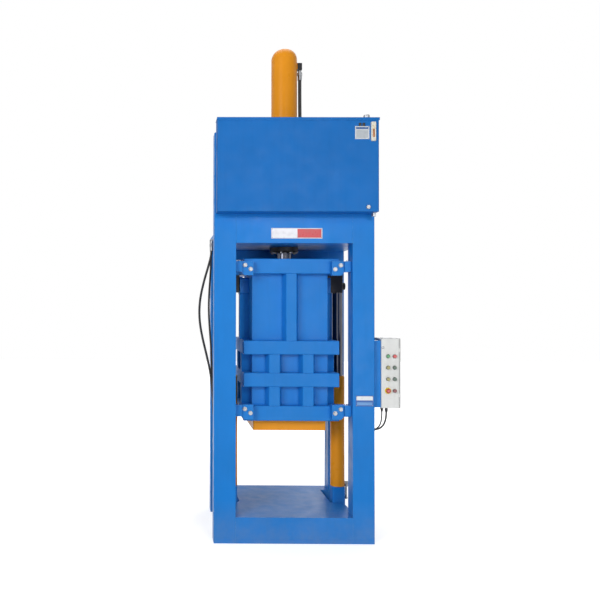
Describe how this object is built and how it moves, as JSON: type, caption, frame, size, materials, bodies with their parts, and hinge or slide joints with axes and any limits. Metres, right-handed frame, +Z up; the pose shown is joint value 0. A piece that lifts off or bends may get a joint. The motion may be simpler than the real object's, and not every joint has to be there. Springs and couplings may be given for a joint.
{
  "type": "cardboard baler",
  "caption": "Tall hydraulic baler with a lifting chamber in a portal frame, a press cylinder on top and a side control box.",
  "frame": {"origin": "on the floor midway between the four columns, on the underside of the base", "axes": "+Z up along the press axis, +X to the right seen from the front, +Y to the back"},
  "size_m": [1.374, 0.945, 3.543],
  "materials": {
    "frame_blue": "semi-gloss blue enamel",
    "orange_paint": "semi-gloss orange enamel",
    "chrome_rod": "hard chromed and oily",
    "dark_steel": "blackened steel",
    "bright_steel": "zinc plated",
    "cabinet_white": "textured light powder coat",
    "motor_grey": "painted casting",
    "rubber_black": "matt rubber",
    "gland_black": "moulded",
    "plate_pale": "plain printed sheet",
    "gauge_plastic": "moulded",
    "button_green": "moulded",
    "button_red": "moulded",
    "button_yellow": "moulded"
  },
  "bodies": {
    "frame": {"front_left_column": "frame_blue", "front_right_column": "frame_blue", "rear_left_column": "frame_blue", "rear_right_column": "frame_blue", "front_sill": "frame_blue", "rear_sill": "frame_blue", "front_head_beam": "frame_blue", "rear_head_beam": "frame_blue", "base_box": "frame_blue", "base_ties": "frame_blue", "bed_plate": "frame_blue", "head_box": "frame_blue", "oil_tank": "frame_blue", "lift_feet": "frame_blue", "control_bracket": "frame_blue", "level_gauge": "gauge_plastic", "pipe_fittings": "bright_steel", "flange_bolts": "bright_steel", "filler_breather": "bright_steel", "tank_plate": "plate_pale", "name_plate": "plate_pale", "column_plate": "plate_pale", "main_barrel": "orange_paint", "left_lift_barrel": "orange_paint", "right_lift_barrel": "orange_paint", "main_gland": "dark_steel", "port_block": "dark_steel", "electric_motor": "motor_grey", "pump_unit": "motor_grey", "valve_block": "motor_grey", "control_box": "cabinet_white", "cable_glands": "gland_black", "outer_hose": "rubber_black", "inner_hose": "rubber_black", "main_hose": "rubber_black", "front_cable": "rubber_black", "rear_cable": "rubber_black"},
    "door": {"control_door": "cabinet_white"},
    "ram": {"ram_rod": "chrome_rod", "main_piston": "dark_steel", "platen": "orange_paint"},
    "chamber": {"chamber_panels": "frame_blue", "chamber_rails": "frame_blue", "chamber_ribs": "frame_blue", "guide_brackets": "frame_blue", "guide_shoes": "frame_blue", "guide_bolts": "bright_steel", "left_lift_rod": "chrome_rod", "right_lift_rod": "chrome_rod", "rod_end_blocks": "dark_steel", "rod_end_pins": "dark_steel", "lift_lugs": "frame_blue"},
    "start_button_body": {"start_button": "button_green"},
    "stop_button_body": {"stop_button": "button_red"},
    "ram_up_button_body": {"ram_up_button": "button_yellow"},
    "ram_down_button_body": {"ram_down_button": "button_green"},
    "chamber_up_button_body": {"chamber_up_button": "button_yellow"},
    "chamber_down_button_body": {"chamber_down_button": "button_green"},
    "emergency_stop_body": {"emergency_stop": "button_red"},
    "reset_button_body": {"reset_button": "button_red"}
  },
  "joints": [
    {"name": "ram_slide", "type": "slide", "parent": "frame", "child": "ram", "axis": [0, 0, 1], "range_m": [-0.15, 1.05]},
    {"name": "chamber_slide", "type": "slide", "parent": "frame", "child": "chamber", "axis": [0, 0, 1], "range_m": [-0.6, 0]},
    {"name": "door_hinge", "type": "hinge", "parent": "frame", "child": "door", "pos_m": [0.728, -0.372, 1.162], "axis": [0, 0, 1], "range_deg": [0, 110]},
    {"name": "start_button_slide", "type": "slide", "parent": "door", "child": "start_button_body", "axis": [0, 1, 0], "range_m": [0, 0.003], "stiffness_N_per_m": 400, "springref_m": -0.002},
    {"name": "stop_button_slide", "type": "slide", "parent": "door", "child": "stop_button_body", "axis": [0, 1, 0], "range_m": [0, 0.003], "stiffness_N_per_m": 400, "springref_m": -0.002},
    {"name": "ram_up_button_slide", "type": "slide", "parent": "door", "child": "ram_up_button_body", "axis": [0, 1, 0], "range_m": [0, 0.003], "stiffness_N_per_m": 400, "springref_m": -0.002},
    {"name": "ram_down_button_slide", "type": "slide", "parent": "door", "child": "ram_down_button_body", "axis": [0, 1, 0], "range_m": [0, 0.003], "stiffness_N_per_m": 400, "springref_m": -0.002},
    {"name": "chamber_up_button_slide", "type": "slide", "parent": "door", "child": "chamber_up_button_body", "axis": [0, 1, 0], "range_m": [0, 0.003], "stiffness_N_per_m": 400, "springref_m": -0.002},
    {"name": "chamber_down_button_slide", "type": "slide", "parent": "door", "child": "chamber_down_button_body", "axis": [0, 1, 0], "range_m": [0, 0.003], "stiffness_N_per_m": 400, "springref_m": -0.002},
    {"name": "emergency_stop_slide", "type": "slide", "parent": "door", "child": "emergency_stop_body", "axis": [0, 1, 0], "range_m": [0, 0.003], "stiffness_N_per_m": 400, "springref_m": -0.002},
    {"name": "reset_button_slide", "type": "slide", "parent": "door", "child": "reset_button_body", "axis": [0, 1, 0], "range_m": [0, 0.003], "stiffness_N_per_m": 400, "springref_m": -0.002}
  ]
}
